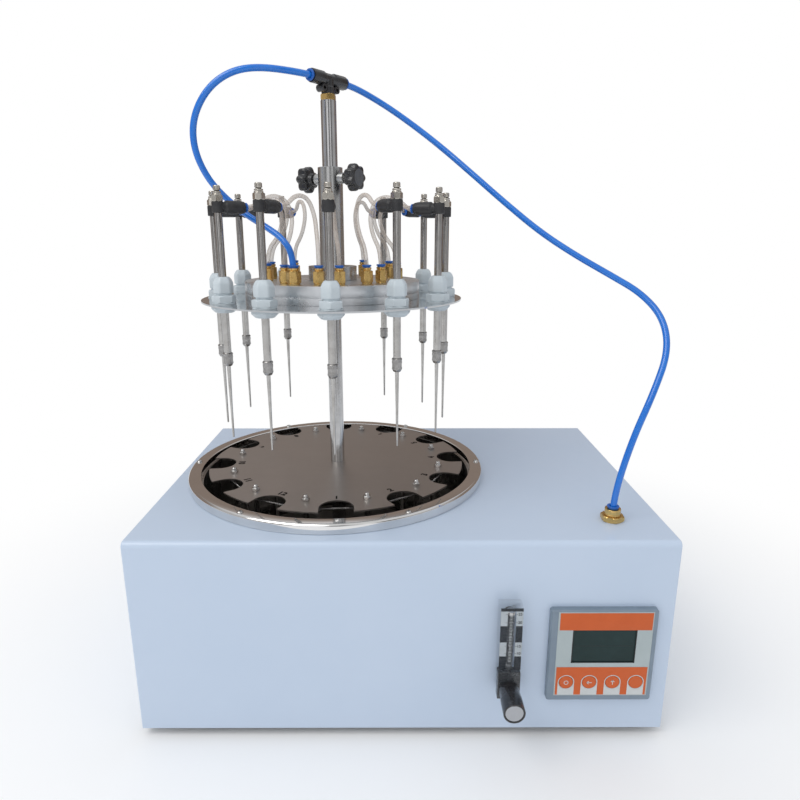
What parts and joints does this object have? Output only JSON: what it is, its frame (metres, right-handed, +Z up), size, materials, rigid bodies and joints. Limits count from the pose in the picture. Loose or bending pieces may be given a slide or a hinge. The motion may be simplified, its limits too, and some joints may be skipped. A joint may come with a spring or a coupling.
{
  "type": "nitrogen evaporator",
  "caption": "Heated water bath in a sheet-steel cabinet with a turning tube rack and a height-adjustable ring of gas needles on a central column, fed by hoses through a manifold",
  "frame": {"origin": "on the bench, under the centre of the outline of the rigid pieces (the hoses are left out)", "axes": "+Z up; the front panel with the controller faces -Y; +X is to the right as seen from the front"},
  "size_m": [0.4841, 0.403, 0.5987],
  "materials": {
    "housing": "fine powder coat",
    "zinc_plate": "satin",
    "rubber": "matte",
    "bowl_steel": "drawn steel, satin",
    "chrome": "mirror polished",
    "steel": "brushed",
    "screw_steel": "bright",
    "heater": "dark",
    "frame_plastic": "blue-grey",
    "face_print": "printed",
    "display": "dark green glass",
    "acrylic": "clear acrylic",
    "black_gloss": "gloss",
    "black_matte": "satin",
    "float": "gloss",
    "orange": "satin",
    "brass": "bright",
    "aluminium": "turned, brushed",
    "nylon": "light grey nylon",
    "needle_steel": "polished",
    "nickel": "bright nickel",
    "clear_tube": "clear",
    "blue_hose": "gloss"
  },
  "bodies": {
    "cabinet": {"housing_shell": "housing", "base_plate": "zinc_plate", "rubber_feet": "rubber", "bath_bowl": "bowl_steel", "bath_ring": "chrome", "ring_screws": "screw_steel", "heater_and_probe": "heater", "controller_case": "frame_plastic", "controller_face": "face_print", "display_window": "display", "rotameter_block": "acrylic", "bulkhead_fittings": "brass", "power_inlet": "black_matte", "supply_hose": "blue_hose"},
    "rack": {"rack_top_plate": "steel", "rack_lower_plate": "steel", "rack_posts": "screw_steel", "tube_spring": "screw_steel", "column": "steel", "tee_fitting": "black_gloss", "manifold_hose": "blue_hose"},
    "carrier": {"lift_sleeve": "steel", "gland_plate": "chrome", "manifold_block": "aluminium", "manifold_fittings": "brass", "cable_glands": "nylon", "branch_tubes": "clear_tube"},
    "clamp_right": {"clamp_knob_right": "black_matte"},
    "clamp_left": {"clamp_knob_left": "black_matte"},
    "flow_float": {"rotameter_float": "float"},
    "flow_knob": {"rotameter_knob": "black_matte"},
    "switch": {"power_switch": "black_gloss"},
    "needle_01_body": {"needle_01": "needle_steel"},
    "needle_02_body": {"needle_02": "needle_steel"},
    "needle_03_body": {"needle_03": "needle_steel"},
    "needle_04_body": {"needle_04": "needle_steel"},
    "needle_05_body": {"needle_05": "needle_steel"},
    "needle_06_body": {"needle_06": "needle_steel"},
    "needle_07_body": {"needle_07": "needle_steel"},
    "needle_08_body": {"needle_08": "needle_steel"},
    "needle_09_body": {"needle_09": "needle_steel"},
    "needle_10_body": {"needle_10": "needle_steel"},
    "needle_11_body": {"needle_11": "needle_steel"},
    "needle_12_body": {"needle_12": "needle_steel"},
    "valve_screw_01_body": {"valve_screw_01": "nickel"},
    "valve_screw_02_body": {"valve_screw_02": "nickel"},
    "valve_screw_03_body": {"valve_screw_03": "nickel"},
    "valve_screw_04_body": {"valve_screw_04": "nickel"},
    "valve_screw_05_body": {"valve_screw_05": "nickel"},
    "valve_screw_06_body": {"valve_screw_06": "nickel"},
    "valve_screw_07_body": {"valve_screw_07": "nickel"},
    "valve_screw_08_body": {"valve_screw_08": "nickel"},
    "valve_screw_09_body": {"valve_screw_09": "nickel"},
    "valve_screw_10_body": {"valve_screw_10": "nickel"},
    "valve_screw_11_body": {"valve_screw_11": "nickel"},
    "valve_screw_12_body": {"valve_screw_12": "nickel"},
    "key_1_body": {"key_1": "orange"},
    "key_2_body": {"key_2": "orange"},
    "key_3_body": {"key_3": "orange"},
    "key_4_body": {"key_4": "orange"}
  },
  "joints": [
    {"name": "rack_turn", "type": "hinge", "parent": "cabinet", "child": "rack", "pos_m": [-0.07, 0.0155, 0.06], "axis": [0, 0, 1], "range_deg": [-90, 90], "deforming": ["supply_hose"]},
    {"name": "carrier_lift", "type": "slide", "parent": "rack", "child": "carrier", "axis": [0, 0, 1], "range_m": [-0.1, 0.055], "deforming": ["manifold_hose"]},
    {"name": "clamp_right_turn", "type": "hinge", "parent": "carrier", "child": "clamp_right", "pos_m": [-0.04514, 0.00056, 0.5028], "axis": [0.8572, -0.515, 0], "range_deg": [0, 360]},
    {"name": "clamp_left_turn", "type": "hinge", "parent": "carrier", "child": "clamp_left", "pos_m": [-0.09486, 0.03044, 0.5028], "axis": [-0.8572, 0.515, 0], "range_deg": [0, 360]},
    {"name": "needle_01_slide", "type": "slide", "parent": "carrier", "child": "needle_01_body", "axis": [0, 0, 1], "range_m": [-0.02, 0.02], "deforming": ["branch_tubes"]},
    {"name": "needle_02_slide", "type": "slide", "parent": "carrier", "child": "needle_02_body", "axis": [0, 0, 1], "range_m": [-0.02, 0.02], "deforming": ["branch_tubes"]},
    {"name": "needle_03_slide", "type": "slide", "parent": "carrier", "child": "needle_03_body", "axis": [0, 0, 1], "range_m": [-0.02, 0.02], "deforming": ["branch_tubes"]},
    {"name": "needle_04_slide", "type": "slide", "parent": "carrier", "child": "needle_04_body", "axis": [0, 0, 1], "range_m": [-0.02, 0.02], "deforming": ["branch_tubes"]},
    {"name": "needle_05_slide", "type": "slide", "parent": "carrier", "child": "needle_05_body", "axis": [0, 0, 1], "range_m": [-0.02, 0.02], "deforming": ["branch_tubes"]},
    {"name": "needle_06_slide", "type": "slide", "parent": "carrier", "child": "needle_06_body", "axis": [0, 0, 1], "range_m": [-0.02, 0.02], "deforming": ["branch_tubes"]},
    {"name": "needle_07_slide", "type": "slide", "parent": "carrier", "child": "needle_07_body", "axis": [0, 0, 1], "range_m": [-0.02, 0.02], "deforming": ["branch_tubes"]},
    {"name": "needle_08_slide", "type": "slide", "parent": "carrier", "child": "needle_08_body", "axis": [0, 0, 1], "range_m": [-0.02, 0.02], "deforming": ["branch_tubes"]},
    {"name": "needle_09_slide", "type": "slide", "parent": "carrier", "child": "needle_09_body", "axis": [0, 0, 1], "range_m": [-0.02, 0.02], "deforming": ["branch_tubes"]},
    {"name": "needle_10_slide", "type": "slide", "parent": "carrier", "child": "needle_10_body", "axis": [0, 0, 1], "range_m": [-0.02, 0.02], "deforming": ["branch_tubes"]},
    {"name": "needle_11_slide", "type": "slide", "parent": "carrier", "child": "needle_11_body", "axis": [0, 0, 1], "range_m": [-0.02, 0.02], "deforming": ["branch_tubes"]},
    {"name": "needle_12_slide", "type": "slide", "parent": "carrier", "child": "needle_12_body", "axis": [0, 0, 1], "range_m": [-0.02, 0.02], "deforming": ["branch_tubes"]},
    {"name": "valve_01_turn", "type": "hinge", "parent": "needle_01_body", "child": "valve_screw_01_body", "pos_m": [-0.0607, -0.10013, 0.486], "axis": [0, 0, 1], "range_deg": [0, 360]},
    {"name": "valve_02_turn", "type": "hinge", "parent": "needle_02_body", "child": "valve_screw_02_body", "pos_m": [-0.00413, -0.07998, 0.486], "axis": [0, 0, 1], "range_deg": [0, 360]},
    {"name": "valve_03_turn", "type": "hinge", "parent": "needle_03_body", "child": "valve_screw_03_body", "pos_m": [0.03479, -0.03426, 0.486], "axis": [0, 0, 1], "range_deg": [0, 360]},
    {"name": "valve_04_turn", "type": "hinge", "parent": "needle_04_body", "child": "valve_screw_04_body", "pos_m": [0.04563, 0.0248, 0.486], "axis": [0, 0, 1], "range_deg": [0, 360]},
    {"name": "valve_05_turn", "type": "hinge", "parent": "needle_05_body", "child": "valve_screw_05_body", "pos_m": [0.02548, 0.08137, 0.486], "axis": [0, 0, 1], "range_deg": [0, 360]},
    {"name": "valve_06_turn", "type": "hinge", "parent": "needle_06_body", "child": "valve_screw_06_body", "pos_m": [-0.02024, 0.12029, 0.486], "axis": [0, 0, 1], "range_deg": [0, 360]},
    {"name": "valve_07_turn", "type": "hinge", "parent": "needle_07_body", "child": "valve_screw_07_body", "pos_m": [-0.0793, 0.13113, 0.486], "axis": [0, 0, 1], "range_deg": [0, 360]},
    {"name": "valve_08_turn", "type": "hinge", "parent": "needle_08_body", "child": "valve_screw_08_body", "pos_m": [-0.13587, 0.11098, 0.486], "axis": [0, 0, 1], "range_deg": [0, 360]},
    {"name": "valve_09_turn", "type": "hinge", "parent": "needle_09_body", "child": "valve_screw_09_body", "pos_m": [-0.17479, 0.06526, 0.486], "axis": [0, 0, 1], "range_deg": [0, 360]},
    {"name": "valve_10_turn", "type": "hinge", "parent": "needle_10_body", "child": "valve_screw_10_body", "pos_m": [-0.18563, 0.0062, 0.486], "axis": [0, 0, 1], "range_deg": [0, 360]},
    {"name": "valve_11_turn", "type": "hinge", "parent": "needle_11_body", "child": "valve_screw_11_body", "pos_m": [-0.16548, -0.05037, 0.486], "axis": [0, 0, 1], "range_deg": [0, 360]},
    {"name": "valve_12_turn", "type": "hinge", "parent": "needle_12_body", "child": "valve_screw_12_body", "pos_m": [-0.11976, -0.08929, 0.486], "axis": [0, 0, 1], "range_deg": [0, 360]},
    {"name": "flow_knob_turn", "type": "hinge", "parent": "cabinet", "child": "flow_knob", "pos_m": [0.0942, -0.1865, 0.0615], "axis": [0, -1, 0], "range_deg": [0, 360]},
    {"name": "flow_float_slide", "type": "slide", "parent": "cabinet", "child": "flow_float", "axis": [0, 0, 1], "range_m": [0, 0.047]},
    {"name": "key_1_press", "type": "slide", "parent": "cabinet", "child": "key_1_body", "axis": [0, 1, 0], "range_m": [0, 0.0008], "stiffness_N_per_m": 800},
    {"name": "key_2_press", "type": "slide", "parent": "cabinet", "child": "key_2_body", "axis": [0, 1, 0], "range_m": [0, 0.0008], "stiffness_N_per_m": 800},
    {"name": "key_3_press", "type": "slide", "parent": "cabinet", "child": "key_3_body", "axis": [0, 1, 0], "range_m": [0, 0.0008], "stiffness_N_per_m": 800},
    {"name": "key_4_press", "type": "slide", "parent": "cabinet", "child": "key_4_body", "axis": [0, 1, 0], "range_m": [0, 0.0008], "stiffness_N_per_m": 800},
    {"name": "switch_rock", "type": "hinge", "parent": "cabinet", "child": "switch", "pos_m": [-0.15, 0.1755, 0.079], "axis": [1, 0, 0], "range_deg": [-7, 7]}
  ]
}
